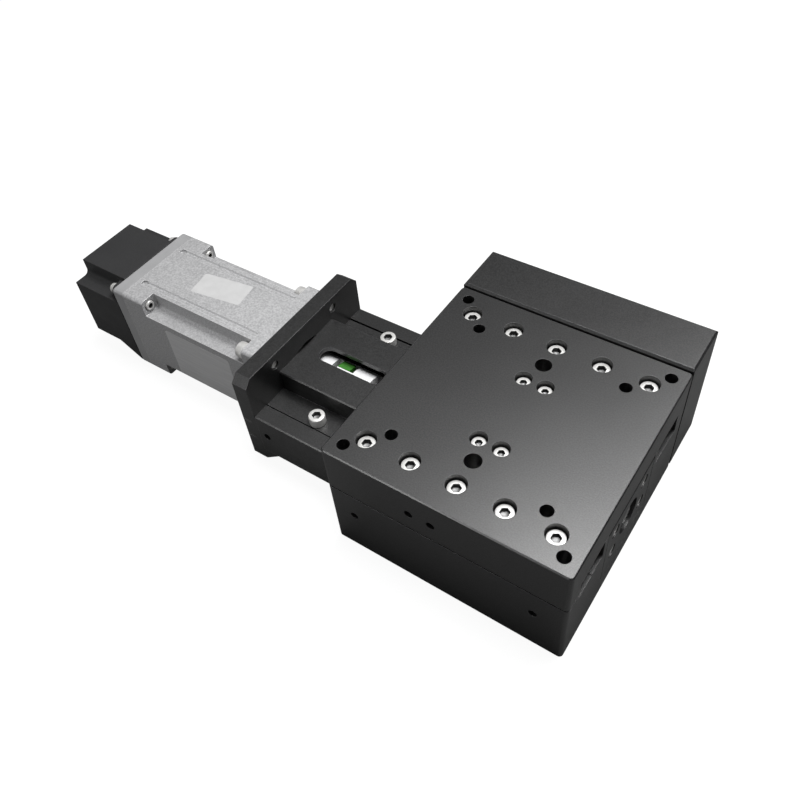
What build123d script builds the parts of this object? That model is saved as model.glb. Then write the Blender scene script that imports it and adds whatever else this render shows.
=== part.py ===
from build123d import *
import os

# Motorised linear translation stage on two crossed-roller guides.
# Frame in millimetres: X runs along the travel and away from the motor, Y across the table
# towards the sensor box, Z up. The origin lies on the mounting face below the table's centre.
os.makedirs("parts", exist_ok=True)

# Stage body
STAGE_LENGTH = 120.0
STAGE_WIDTH = 120.0
HALF_LENGTH = STAGE_LENGTH / 2
HALF_WIDTH = STAGE_WIDTH / 2
BASE_TOP = 41.5
BASE_FLOOR = 12.0
RIB_TOP = 49.0
CHANNEL_HALF = 24.0
DRIVE_UNIT_LENGTH = 16.0
END_PLATE_LENGTH = 10.0
LEFT_WEB = (-HALF_LENGTH + DRIVE_UNIT_LENGTH, -HALF_LENGTH + DRIVE_UNIT_LENGTH + 6.0)
RIGHT_WEB = (HALF_LENGTH - END_PLATE_LENGTH - 8.0, HALF_LENGTH - END_PLATE_LENGTH)
TABLE_TOP = 68.0
TABLE_UNDERSIDE = 50.0
LEG_BOTTOM = 42.4
LEG_INSIDE = 49.9
ROOF_LEDGE = 0.2
CORNER_RADIUS = 2.0
EDGE_CHAMFER = 0.6

# Screw axis, shared by the ball screw, the coupling and the motor
AXIS_Z = 32.3
SCREW_RADIUS = 6.0
JOURNAL_RADIUS = 4.0
BORE_PLAY = 0.01
SHAFT_PLAY = 0.05
RUNNING_PLAY = 0.1

# Crossed-roller guides
RAIL_INSET = 5.0
RAIL_HALF_LENGTH = HALF_LENGTH - RAIL_INSET
RAIL_Z = (38.5, 49.5)
INNER_RAIL_Y = (27.5, 37.9)
OUTER_RAIL_Y = (39.1, 49.5)
RACE_Y = 38.5
RACE_Z = 44.0
RACE_WIDTH = 4.1
ROLLER_RADIUS = 2.0
ROLLER_LENGTH = 3.8
ROLLER_PITCH = 7.0
ROLLER_COUNT = 11
CAGE_HALF_LENGTH = 39.0
CAGE_THICKNESS = 0.6
CAGE_HEIGHT = 8.0
WINDOW = (4.3, 6.0)
RAIL_SCREW_PITCH = 22.8
RAIL_SCREW_Y = 45.0
INNER_SCREW_PITCH = 20.0
INNER_SCREW_Y = 31.5
CAGE_STOP_Y = 33.4
BUMPER_Y = 19.5
BUMPER_DROP = 15.3
BUMPER_RADIUS = 3.5

# Table threads and screws
THREAD_SPACING = 75.0
OUTER_THREAD_SPACING = 105.0
THREAD_RADIUS = 3.0
THREAD_DEPTH = 14.0
ACCESS_HOLE_RADIUS = 4.0
TABLE_SEAT = 60.0
TABLE_BORE_RADIUS = 4.85
NUT_SCREW_SEAT = 61.0
NUT_SCREW_CENTRE = 1.5
NUT_SCREW_SPACING = (11.0, 40.0)
SIDE_THREAD_RADIUS = 2.1
SIDE_THREAD_DEPTH = 8.0
FOOT_THREAD_SPACING = (100.0, 75.0)

# Coupling housing and its cover
HOUSING_LENGTH = 58.0
HOUSING_X = (-HALF_LENGTH - HOUSING_LENGTH, -HALF_LENGTH)
HOUSING_HALF = 45.0
HOUSING_RIM = 9.0
HOUSING_TOP = 38.0
HOUSING_CHANNEL = 20.0
HOUSING_FLOOR = 16.0
COVER_RECESS = 4.0
COVER_SHELF = HOUSING_TOP - COVER_RECESS
SHELF_HALF = HOUSING_HALF - HOUSING_RIM
COVER_END_GAP = 1.0
COVER_X = (HOUSING_X[0], HOUSING_X[1] - COVER_END_GAP)
COVER_FLANGE = 3.5
COVER_FLANGE_TOP = COVER_SHELF + COVER_FLANGE
COVER_GAP = 0.9
COVER_HALF = 22.2
COVER_TOP = 49.5
COVER_WALL = 2.5
SLOT_X = (HOUSING_X[0] + 9.4, HOUSING_X[1] - 9.0)
SLOT_HALF = 5.0
COVER_SCREW_INSET = 5.3
COVER_SCREW = (sum(HOUSING_X) / 2, SHELF_HALF - COVER_SCREW_INSET)

# Motor bracket and the bolts that clamp it to the base
BRACKET_THICKNESS = 9.0
BRACKET_X = (HOUSING_X[0] - BRACKET_THICKNESS, HOUSING_X[0])
BRACKET_Z = (4.5, 62.4)
BRACKET_CHAMFER = 4.2
HEEL_REACH = 9.5
TIE_BOLT_Y = HOUSING_HALF - HOUSING_RIM / 2
TIE_BOLT_Z = (20.0, 32.0)
TIE_BOLT_SINK = 5.2

# Ball screw unit
DRIVE_BEARING_X = (-HALF_LENGTH, -HALF_LENGTH + 12.0)
END_BEARING_X = (RIGHT_WEB[1] + 0.5, RIGHT_WEB[1] + 7.5)
BEARING_RADIUS = 11.0
BEARING_UNIT_HALF = 23.9
NUT_BRACKET_X = (-10.0, 13.0)
NUT_BRACKET_Z = (14.5, 50.0)
NUT_RADIUS = 11.0
NUT_FLANGE_X = (13.0, 18.0)
NUT_BOLT = (12.557, 7.25)
NUT_FLANGE_RADIUS = 17.0
NUT_FLANGE_HEIGHT = 28.0

# Jaw coupling
COUPLING_RADIUS = 11.0
MOTOR_HUB_X = (HOUSING_X[0] + 6.0, HOUSING_X[0] + 16.0)
SCREW_HUB_X = (HOUSING_X[0] + 28.7, HOUSING_X[0] + 40.0)
SPIDER_X = (HOUSING_X[0] + 19.0, HOUSING_X[0] + 26.2)
SPIDER_LEG = 6.0
SPIDER_CORE = 5.5
JAW_GAP = 0.1
JAW_TURN = -16.0

# Servo motor
MOTOR_SIZE = 56.4
MOTOR_BOLT_INSET = 4.63
MOTOR_BOLT = MOTOR_SIZE / 2 - MOTOR_BOLT_INSET
MOTOR_LENGTH = 94.5
MOTOR_X = (BRACKET_X[0] - MOTOR_LENGTH, BRACKET_X[0])
FRONT_FLANGE = 9.0
REAR_FLANGE = 15.0
GROOVE_START = MOTOR_X[0] + 4.5
GROOVE_Y = 15.0
GROOVE_MOUTH = 3.6
GROOVE_FLOOR = 2.0
GROOVE_DEPTH = 1.0
GROOVE_END = (1.9, 1.4)
CORNER_NOTCH = 9.2
NOTCH_ROUND = 2.5
PILOT_RADIUS = 19.05
PILOT_DEPTH = 1.6
STATOR_WALL = 4.2
STATOR_RADIUS = MOTOR_SIZE / 2 - STATOR_WALL
STATOR_DEPTH = 9.7
AIR_GAP_RADIUS = STATOR_RADIUS - STATOR_DEPTH
MOTOR_SHAFT_RADIUS = 5.0
SHIELD_THICKNESS = 8.0
SHIELD_X = (MOTOR_X[0] - SHIELD_THICKNESS, MOTOR_X[0])
SHIELD_ROUND = 1.2
SHIELD_SCREW_SINK = 2.0
CAP_LENGTH = 34.5
CAP_X = (SHIELD_X[0] - CAP_LENGTH, SHIELD_X[0])
CAP_STEP = 0.2
CAP_SIZE = MOTOR_SIZE - 2 * CAP_STEP
CAP_NOTCH = 9.7
CAP_WALL = 2.5
CAP_HOLLOW = CAP_SIZE / 2 - CAP_NOTCH - CAP_WALL
CAP_EAR = 3.5
EAR_REACH = CAP_SIZE / 2 - 1.8
EAR_ROUND = 3.4
CAP_GUSSET = 2.0
GUSSET_REACH = 11.5
CAP_SCREW_INSET = 5.2
CAP_SCREW = CAP_SIZE / 2 - CAP_SCREW_INSET

# Sensor box along the far side
BOX_GAP = 0.5
BOX_DEPTH = 29.5
BOX_Y = (HALF_WIDTH + BOX_GAP, HALF_WIDTH + BOX_GAP + BOX_DEPTH)
BOX_TOP = 69.5
BOX_CHAMFER = 1.0
BOX_WALL = 3.0
MOUNT_Y = (HALF_WIDTH, HALF_WIDTH + 4.0)
MOUNT_BACK_Y = (BOX_Y[1] - 12.4, BOX_Y[1] - 9.4)
MOUNT_SHELF_Z = (36.0, 40.0)
MOUNT_TOP = 66.0
BOARD_Y = (MOUNT_BACK_Y[0] - 1.6, MOUNT_BACK_Y[0])
BOARD_FOOT = 52.0
SENSOR_Y = (HALF_WIDTH + 2.7, BOARD_Y[0])
SENSOR_MOUTH = 8.0
SENSOR_HALF = 3.25
FLAG_ROOT = 2.2
FLAG_REACH = 9.0
SENSOR_HEIGHT = 60.0
LIMIT_SENSOR_X = 26.0

# Socket cap screws: head radius, head height and key width for each thread size
CAP_HEADS = {3: (2.75, 3.0, 2.5), 4: (3.5, 4.0, 3.0), 5: (4.25, 5.0, 4.0)}
# Hole radius for each thread size: tapped, clear of the thread, and clear of the head
TAPPED = {3: 1.55, 4: 2.05, 5: 2.55}
CLEAR = {3: 1.7, 4: 2.25, 5: 2.75}
SUNK = {3: 3.1, 4: 3.7, 5: 4.5}


def middle(limits):
    return (limits[0] + limits[1]) / 2


def length(limits):
    return limits[1] - limits[0]


def mirrored(side, limits):
    """The limits as they are on the far side, or mirrored to the near side."""
    return tuple(sorted((side * limits[0], side * limits[1])))


def facing_right(x):
    """Plane across the screw axis, seen from the free end, with local (y, z from the axis)."""
    return Plane(origin=(x, 0, AXIS_Z), x_dir=(0, 1, 0), z_dir=(1, 0, 0))


def facing_left(x):
    """Plane across the screw axis, seen from the motor end, with local (-y, z from the axis)."""
    return Plane(origin=(x, 0, AXIS_Z), x_dir=(0, -1, 0), z_dir=(-1, 0, 0))


def facing_near(y):
    """Vertical plane along the stage, seen from the near side, with local (x, z)."""
    return Plane(origin=(0, y, 0), x_dir=(1, 0, 0), z_dir=(0, -1, 0))


def facing_far(y):
    """Vertical plane along the stage, seen from the far side, with local (-x, z)."""
    return Plane(origin=(0, y, 0), x_dir=(-1, 0, 0), z_dir=(0, 1, 0))


def across_coupling(x):
    """Plane across the screw axis, turned to where the coupling's jaws stand."""
    turned = Vector(0, 1, 0).rotate(Axis.X, JAW_TURN)
    return Plane(origin=(x, 0, AXIS_Z), x_dir=turned, z_dir=(1, 0, 0))


def block(x, y, z, mode=Mode.ADD):
    """Rectangular block between three pairs of limits."""
    with BuildSketch(Plane.XY.offset(z[0])) as outline:
        with Locations((middle(x), middle(y))):
            Rectangle(length(x), length(y))
    extrude(outline.sketch, amount=length(z), mode=mode)


def discs(plane, points, radius, depth, mode=Mode.ADD):
    """Round bosses on a plane, or holes into it, one at each point."""
    with BuildSketch(plane) as outline:
        with Locations(*points):
            Circle(radius)
    extrude(outline.sketch, amount=depth, mode=mode)


def holes(plane, points, radius, depth):
    """Straight holes from a plane into the body behind it."""
    discs(plane, points, radius, -depth, Mode.SUBTRACT)


def ring(x, outer, inner):
    """Ring about the screw axis between two places along it."""
    with BuildSketch(facing_right(x[0])) as outline:
        Circle(outer)
        Circle(inner, mode=Mode.SUBTRACT)
    extrude(outline.sketch, amount=length(x))


def cap_screws(seat, points, size, grip):
    """Socket cap screws: heads stand on the seat plane, shanks reach grip deep behind it."""
    head_radius, head_height, key = CAP_HEADS[size]
    discs(seat, points, head_radius, head_height)
    discs(seat, points, size / 2, -grip)
    with BuildSketch(seat.offset(head_height)) as socket:
        with Locations(*points):
            RegularPolygon(key / 2, 6, major_radius=False)
    extrude(socket.sketch, amount=-head_height / 2, mode=Mode.SUBTRACT)


def corners(half_width, half_height):
    """The four points of a rectangle about the local origin."""
    return [(u * half_width, v * half_height) for u in (-1, 1) for v in (-1, 1)]


ALONG = (-HALF_LENGTH, HALF_LENGTH)
RAIL_SCREW_X = [step * RAIL_SCREW_PITCH for step in range(-2, 3)]
INNER_SCREW_X = [step * INNER_SCREW_PITCH for step in range(-2, 3)]
TIE_BOLTS = [(side * TIE_BOLT_Y, z - AXIS_Z) for side in (-1, 1) for z in TIE_BOLT_Z]
FOOT_SCREWS = [(x, 22.0) for x in (-30.0, 0.0, 30.0)]

# Base: U-shaped block. Two webs close the screw channel, ribs beside it locate the guides.
DRIVE_BOLTS = corners(18.0, 10.5)
END_BOLTS = corners(15.0, 8.0)
GUIDE_POCKET = (INNER_RAIL_Y[0], 50.3)
with BuildPart() as base:
    with BuildSketch(Plane.XY):
        RectangleRounded(STAGE_LENGTH, STAGE_WIDTH, CORNER_RADIUS)
    extrude(amount=BASE_TOP)
    block(ALONG, (-INNER_RAIL_Y[0], INNER_RAIL_Y[0]), (BASE_TOP, RIB_TOP))
    for side in (-1, 1):
        block(ALONG, mirrored(side, GUIDE_POCKET), (RAIL_Z[0] - 0.5, BASE_TOP), Mode.SUBTRACT)
        block(ALONG, mirrored(side, INNER_RAIL_Y), (RAIL_Z[0] - 0.5, RAIL_Z[0]))
    for bay in ((-HALF_LENGTH, LEFT_WEB[0]), (LEFT_WEB[1], RIGHT_WEB[0]), (RIGHT_WEB[1], HALF_LENGTH)):
        block(bay, (-CHANNEL_HALF, CHANNEL_HALF), (BASE_FLOOR, RIB_TOP), Mode.SUBTRACT)
    holes(facing_right(RIGHT_WEB[1]), [(0, 0)], 8.0, RIGHT_WEB[1] - LEFT_WEB[0])
    holes(facing_right(RIGHT_WEB[1]), END_BOLTS, TAPPED[4], length(RIGHT_WEB))
    holes(facing_left(LEFT_WEB[0]), DRIVE_BOLTS, TAPPED[4], length(LEFT_WEB))
    holes(facing_left(-HALF_LENGTH), TIE_BOLTS, TAPPED[5], 12.5)
    for side in (-1, 1):
        seat_points = [(x, side * INNER_SCREW_Y) for x in INNER_SCREW_X]
        holes(Plane.XY.offset(RAIL_Z[0]), seat_points, TAPPED[4], 10.5)
    holes(facing_near(-HALF_WIDTH), [(-47.0, 26.0), (45.0, 26.0)], SIDE_THREAD_RADIUS, SIDE_THREAD_DEPTH)
    holes(facing_far(HALF_WIDTH), FOOT_SCREWS, TAPPED[4], 8.5)
    with Locations(Plane.XY.rotated((180, 0, 0))):
        with GridLocations(FOOT_THREAD_SPACING[0], FOOT_THREAD_SPACING[1], 2, 2):
            Hole(radius=THREAD_RADIUS, depth=THREAD_DEPTH)

# Table: inverted U whose legs reach down outside the guides.
with BuildPart() as table:
    with BuildSketch(Plane.XY.offset(LEG_BOTTOM)):
        RectangleRounded(STAGE_LENGTH, STAGE_WIDTH, CORNER_RADIUS)
    extrude(amount=TABLE_TOP - LEG_BOTTOM)
    chamfer(table.faces().sort_by(Axis.Z)[-1].edges(), EDGE_CHAMFER)
    block(ALONG, (-LEG_INSIDE, LEG_INSIDE), (LEG_BOTTOM, RAIL_Z[1]), Mode.SUBTRACT)
    roof_half = OUTER_RAIL_Y[0] - ROOF_LEDGE
    block(ALONG, (-roof_half, roof_half), (RAIL_Z[1], TABLE_UNDERSIDE), Mode.SUBTRACT)
    with Locations(Plane.XY.offset(TABLE_TOP)):
        with GridLocations(RAIL_SCREW_PITCH, 2 * RAIL_SCREW_Y, 5, 2):
            CounterBoreHole(CLEAR[5], TABLE_BORE_RADIUS, TABLE_TOP - TABLE_SEAT)
        with GridLocations(THREAD_SPACING, THREAD_SPACING, 2, 2):
            Hole(radius=THREAD_RADIUS, depth=THREAD_DEPTH)
        with GridLocations(OUTER_THREAD_SPACING, OUTER_THREAD_SPACING, 2, 2):
            Hole(radius=THREAD_RADIUS, depth=THREAD_DEPTH)
        with GridLocations(0, 2 * INNER_SCREW_Y, 1, 2):
            Hole(radius=ACCESS_HOLE_RADIUS)
    with Locations(Plane((NUT_SCREW_CENTRE, 0, TABLE_TOP))):
        with GridLocations(NUT_SCREW_SPACING[0], NUT_SCREW_SPACING[1], 2, 2):
            CounterBoreHole(CLEAR[4], 4.1, TABLE_TOP - NUT_SCREW_SEAT)
    holes(facing_near(-HALF_WIDTH), [(-15.0, 53.0), (-4.0, 53.0)], SIDE_THREAD_RADIUS, SIDE_THREAD_DEPTH)

with BuildPart() as table_screws:
    points = [(x, side * RAIL_SCREW_Y) for x in RAIL_SCREW_X for side in (-1, 1)]
    cap_screws(Plane.XY.offset(TABLE_SEAT), points, 5, 18.5)


# Guides: V-grooved rails face each other, and rollers crossed at 45 degrees run between them.
def race(side):
    """The square space in which the rollers of one guide run, cut from both of its rails."""
    with BuildSketch(Plane.YZ.offset(-RAIL_HALF_LENGTH)) as groove:
        with Locations((side * RACE_Y, RACE_Z)):
            Rectangle(RACE_WIDTH, RACE_WIDTH, rotation=45)
    extrude(groove.sketch, amount=2 * RAIL_HALF_LENGTH, mode=Mode.SUBTRACT)


def outer_rail(side):
    with BuildPart() as rail:
        block((-RAIL_HALF_LENGTH, RAIL_HALF_LENGTH), mirrored(side, OUTER_RAIL_Y), RAIL_Z)
        race(side)
        holes(Plane.XY.offset(RAIL_Z[1]), [(x, side * RAIL_SCREW_Y) for x in RAIL_SCREW_X], TAPPED[5], 8.5)
    return rail


def inner_rail(side):
    with BuildPart() as rail:
        block((-RAIL_HALF_LENGTH, RAIL_HALF_LENGTH), mirrored(side, INNER_RAIL_Y), RAIL_Z)
        race(side)
        with Locations(*[(x, side * INNER_SCREW_Y, RAIL_Z[1]) for x in INNER_SCREW_X]):
            CounterBoreHole(CLEAR[4], 3.65, 4.5)
        for end_plane in (facing_right(RAIL_HALF_LENGTH), facing_left(-RAIL_HALF_LENGTH)):
            stop_points = [(side * CAGE_STOP_Y, RACE_Z - AXIS_Z), (-side * CAGE_STOP_Y, RACE_Z - AXIS_Z)]
            holes(end_plane, stop_points, TAPPED[3], 8.0)
    return rail


def cage(side):
    """Thin strip between the rails with one window for each roller."""
    with BuildPart() as strip:
        thickness = mirrored(side, (RACE_Y - CAGE_THICKNESS / 2, RACE_Y + CAGE_THICKNESS / 2))
        height = (RACE_Z - CAGE_HEIGHT / 2, RACE_Z + CAGE_HEIGHT / 2)
        block((-CAGE_HALF_LENGTH, CAGE_HALF_LENGTH), thickness, height)
        with BuildSketch(facing_near(thickness[0] - 1)) as windows:
            with Locations((0, RACE_Z)):
                with GridLocations(ROLLER_PITCH, 1, ROLLER_COUNT, 1):
                    Rectangle(*WINDOW)
        extrude(windows.sketch, amount=-CAGE_THICKNESS - 2, mode=Mode.SUBTRACT)
    return strip


def rollers(side):
    """Cylindrical rollers whose axes lean by 45 degrees to alternate sides."""
    first = -(ROLLER_COUNT - 1) / 2
    places = [((first + n) * ROLLER_PITCH, side * RACE_Y, RACE_Z) for n in range(ROLLER_COUNT)]
    with BuildPart() as row:
        with Locations(*places[0::2]):
            Cylinder(ROLLER_RADIUS, ROLLER_LENGTH, rotation=(45, 0, 0))
        with Locations(*places[1::2]):
            Cylinder(ROLLER_RADIUS, ROLLER_LENGTH, rotation=(-45, 0, 0))
    return row


near_outer_rail = outer_rail(-1)
far_outer_rail = outer_rail(1)
near_inner_rail = inner_rail(-1)
far_inner_rail = inner_rail(1)
near_cage = cage(-1)
far_cage = cage(1)
near_rollers = rollers(-1)
far_rollers = rollers(1)

with BuildPart() as inner_rail_screws:
    points = [(x, side * INNER_SCREW_Y) for x in INNER_SCREW_X for side in (-1, 1)]
    cap_screws(Plane.XY.offset(RAIL_Z[1] - 4.5), points, 4, 16.0)

# Cage stops: flanged screws in the ends of the inner rails that keep the cages in.
with BuildPart() as cage_stops:
    points = [(side * CAGE_STOP_Y, RACE_Z - AXIS_Z) for side in (-1, 1)]
    for end_plane in (facing_right(RAIL_HALF_LENGTH), facing_left(-RAIL_HALF_LENGTH)):
        discs(end_plane, points, 5.2, 1.5)
        discs(end_plane, points, 1.5, -7.5)
        discs(end_plane.offset(1.5), points, 2.75, 2.0)

# Travel bumpers: urethane posts on the webs, clear of the nut bracket at both ends of travel.
with BuildPart() as travel_bumpers:
    low_points = [(side * BUMPER_Y, -BUMPER_DROP) for side in (-1, 1)]
    discs(facing_left(RIGHT_WEB[0]), low_points, BUMPER_RADIUS, 12.5)
    discs(facing_right(LEFT_WEB[1]), low_points, BUMPER_RADIUS, 11.5)

# Ball nut with its bracket, which hangs from the table between the ribs.
NUT_BOLTS = corners(NUT_BOLT[0], NUT_BOLT[1])
NUT_SCREW_X = (NUT_SCREW_CENTRE - NUT_SCREW_SPACING[0] / 2, NUT_SCREW_CENTRE + NUT_SCREW_SPACING[0] / 2)
NUT_SCREW_POINTS = [(x, side * NUT_SCREW_SPACING[1] / 2) for x in NUT_SCREW_X for side in (-1, 1)]
with BuildPart() as nut_bracket:
    block(NUT_BRACKET_X, (-23.5, 23.5), NUT_BRACKET_Z)
    chamfer(nut_bracket.edges().filter_by(Axis.X).group_by(Axis.Z)[0], 3.0)
    holes(facing_right(NUT_BRACKET_X[1]), [(0, 0)], NUT_RADIUS + SHAFT_PLAY, length(NUT_BRACKET_X))
    holes(facing_right(NUT_BRACKET_X[1]), NUT_BOLTS, TAPPED[4], 9.0)
    holes(Plane.XY.offset(NUT_BRACKET_Z[1]), NUT_SCREW_POINTS, TAPPED[4], 9.0)

with BuildPart() as nut_bracket_screws:
    cap_screws(Plane.XY.offset(NUT_SCREW_SEAT), NUT_SCREW_POINTS, 4, 19.0)

with BuildPart() as ball_nut:
    ring((NUT_BRACKET_X[0] - 4.0, NUT_FLANGE_X[0]), NUT_RADIUS, SCREW_RADIUS + RUNNING_PLAY)
    with BuildSketch(facing_right(NUT_FLANGE_X[0])):
        Circle(NUT_FLANGE_RADIUS)
        Rectangle(2 * NUT_FLANGE_RADIUS, NUT_FLANGE_HEIGHT, mode=Mode.INTERSECT)
        Circle(SCREW_RADIUS + RUNNING_PLAY, mode=Mode.SUBTRACT)
    extrude(amount=length(NUT_FLANGE_X))
    holes(facing_right(NUT_FLANGE_X[1]), NUT_BOLTS, CLEAR[4], length(NUT_FLANGE_X))

with BuildPart() as ball_nut_screws:
    cap_screws(facing_right(NUT_FLANGE_X[1]), NUT_BOLTS, 4, 13.0)

# Bearing units in the channel: angular-contact pair at the motor end, one bearing at the free end.
RETAINER_BOLTS = corners(12.5, 9.0)
with BuildPart() as drive_housing:
    block((-HALF_LENGTH, LEFT_WEB[0]), (-BEARING_UNIT_HALF, BEARING_UNIT_HALF), (BASE_FLOOR, 47.5))
    holes(facing_left(-HALF_LENGTH), [(0, 0)], BEARING_RADIUS + SHAFT_PLAY, length(DRIVE_BEARING_X))
    holes(facing_left(-HALF_LENGTH), [(0, 0)], 8.5, HALF_LENGTH + LEFT_WEB[0])
    holes(facing_left(-HALF_LENGTH), DRIVE_BOLTS, SUNK[4], 5.0)
    holes(facing_left(-HALF_LENGTH), DRIVE_BOLTS, CLEAR[4], HALF_LENGTH + LEFT_WEB[0])
    holes(facing_left(-HALF_LENGTH), RETAINER_BOLTS, TAPPED[3], 8.5)

with BuildPart() as end_plate:
    block((RIGHT_WEB[1], HALF_LENGTH), (-BEARING_UNIT_HALF, BEARING_UNIT_HALF), (BASE_FLOOR, 48.0))
    chamfer(end_plate.faces().sort_by(Axis.X)[-1].edges(), EDGE_CHAMFER)
    holes(facing_left(RIGHT_WEB[1]), [(0, 0)], BEARING_RADIUS + SHAFT_PLAY, END_BEARING_X[1] - RIGHT_WEB[1])
    holes(facing_right(HALF_LENGTH), [(0, 0)], 9.0, 3.0)
    holes(facing_right(HALF_LENGTH), END_BOLTS, SUNK[4], 4.5)
    holes(facing_right(HALF_LENGTH), END_BOLTS, CLEAR[4], HALF_LENGTH - RIGHT_WEB[1])

with BuildPart() as bearing_unit_screws:
    cap_screws(facing_left(-HALF_LENGTH + 5.0), DRIVE_BOLTS, 4, 16.5)
    cap_screws(facing_right(HALF_LENGTH - 4.5), END_BOLTS, 4, 13.0)

with BuildPart() as bearing_retainer:
    with BuildSketch(facing_left(-HALF_LENGTH)):
        Rectangle(34.0, 28.0)
        Circle(8.9, mode=Mode.SUBTRACT)
        with Locations(*RETAINER_BOLTS):
            Circle(CLEAR[3], mode=Mode.SUBTRACT)
    extrude(amount=3.0)

with BuildPart() as retainer_screws:
    cap_screws(facing_left(-HALF_LENGTH - 3.0), RETAINER_BOLTS, 3, 11.0)

DRIVE_SPLIT = middle(DRIVE_BEARING_X)
MOTOR_BEARING_X = (MOTOR_X[1] - 8.0, MOTOR_X[1] - 2.0)
SHIELD_BEARING_X = (SHIELD_X[1] - 6.0, SHIELD_X[1])
WIDE_BEARINGS = ((DRIVE_BEARING_X[0], DRIVE_SPLIT), (DRIVE_SPLIT, DRIVE_BEARING_X[1]), MOTOR_BEARING_X)
with BuildPart() as bearing_outer_rings:
    for span in WIDE_BEARINGS:
        ring((span[0] + BORE_PLAY, span[1] - BORE_PLAY), BEARING_RADIUS, 9.2)
    for span in (END_BEARING_X, SHIELD_BEARING_X):
        ring(span, BEARING_RADIUS, 9.0)

with BuildPart() as bearing_inner_rings:
    for span in WIDE_BEARINGS:
        ring((span[0] + BORE_PLAY, span[1] - BORE_PLAY), 6.8, MOTOR_SHAFT_RADIUS + BORE_PLAY)
    for span in (END_BEARING_X, SHIELD_BEARING_X):
        ring(span, 6.2, JOURNAL_RADIUS + BORE_PLAY)

# Ball screw: journals turned down at both ends of the ground thread.
SCREW_STEPS = (
    ((SCREW_HUB_X[0] + 0.3, -HALF_LENGTH - 6.0), JOURNAL_RADIUS),
    ((-HALF_LENGTH - 6.0, DRIVE_BEARING_X[1]), MOTOR_SHAFT_RADIUS),
    ((DRIVE_BEARING_X[1], RIGHT_WEB[1]), SCREW_RADIUS),
    ((RIGHT_WEB[1], HALF_LENGTH - 1.0), JOURNAL_RADIUS),
)
with BuildPart() as ball_screw:
    for span, radius in SCREW_STEPS:
        discs(facing_right(span[0]), [(0, 0)], radius, length(span))

with BuildPart() as lock_nut:
    with BuildSketch(facing_left(-HALF_LENGTH)):
        Circle(8.0)
        Rectangle(16.0, 14.0, mode=Mode.INTERSECT)
        Circle(MOTOR_SHAFT_RADIUS + BORE_PLAY, mode=Mode.SUBTRACT)
    extrude(amount=6.0)


# Jaw coupling: two hubs whose jaws grip the four legs of the spider between them.
def coupling_hub(span, bore, jaw_quadrants, jaw_start, jaw_end):
    """Hub with two opposite jaws, one in each of the given quadrants."""
    with BuildPart() as hub:
        ring(span, COUPLING_RADIUS, bore)
        jaw_inside = SPIDER_LEG / 2 + JAW_GAP
        jaw_middle = (jaw_inside + COUPLING_RADIUS) / 2
        with BuildSketch(across_coupling(jaw_start)):
            for u, v in jaw_quadrants:
                with Locations((u * jaw_middle, v * jaw_middle)):
                    Rectangle(COUPLING_RADIUS - jaw_inside, COUPLING_RADIUS - jaw_inside)
            Circle(COUPLING_RADIUS, mode=Mode.INTERSECT)
            Circle(SPIDER_CORE + JAW_GAP, mode=Mode.SUBTRACT)
        extrude(amount=jaw_end - jaw_start)
        holes(facing_near(-COUPLING_RADIUS), [(middle(span), AXIS_Z)], TAPPED[3], COUPLING_RADIUS - bore)
    return hub


MOTOR_HUB_BORE = MOTOR_SHAFT_RADIUS + BORE_PLAY
SCREW_HUB_BORE = JOURNAL_RADIUS + BORE_PLAY
motor_hub = coupling_hub(MOTOR_HUB_X, MOTOR_HUB_BORE, ((1, 1), (-1, -1)), MOTOR_HUB_X[1], SPIDER_X[1])
screw_hub = coupling_hub(SCREW_HUB_X, SCREW_HUB_BORE, ((-1, 1), (1, -1)), SPIDER_X[0], SCREW_HUB_X[0])

with BuildPart() as spider:
    with BuildSketch(across_coupling(SPIDER_X[0])):
        Rectangle(2 * COUPLING_RADIUS - 0.6, SPIDER_LEG)
        Rectangle(SPIDER_LEG, 2 * COUPLING_RADIUS - 0.6)
        Circle(SPIDER_CORE)
        Circle(3.0, mode=Mode.SUBTRACT)
    extrude(amount=length(SPIDER_X))

with BuildPart() as coupling_set_screws:
    discs(facing_near(-10.5), [(middle(MOTOR_HUB_X), AXIS_Z)], 1.5, -5.3)
    discs(facing_near(-10.5), [(middle(SCREW_HUB_X), AXIS_Z)], 1.5, -6.3)

# Coupling housing: low U-shaped box between base and motor bracket, shelf for the cover inside.
with BuildPart() as coupling_housing:
    block(HOUSING_X, (-HOUSING_HALF, HOUSING_HALF), (BASE_FLOOR, HOUSING_TOP))
    chamfer(coupling_housing.edges().filter_by(Axis.X).group_by(Axis.Z)[-1], EDGE_CHAMFER)
    block(HOUSING_X, (-HOUSING_CHANNEL, HOUSING_CHANNEL), (HOUSING_FLOOR, HOUSING_TOP), Mode.SUBTRACT)
    block(HOUSING_X, (-SHELF_HALF, SHELF_HALF), (COVER_SHELF, HOUSING_TOP), Mode.SUBTRACT)
    holes(facing_left(HOUSING_X[0]), TIE_BOLTS, CLEAR[5], length(HOUSING_X))
    cover_screw_points = [(COVER_SCREW[0], side * COVER_SCREW[1]) for side in (-1, 1)]
    holes(Plane.XY.offset(COVER_SHELF), cover_screw_points, TAPPED[5], 10.5)
    holes(facing_near(-HOUSING_HALF), [(HOUSING_X[0] + 5.3, 25.5)], SIDE_THREAD_RADIUS, 5.0)

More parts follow.
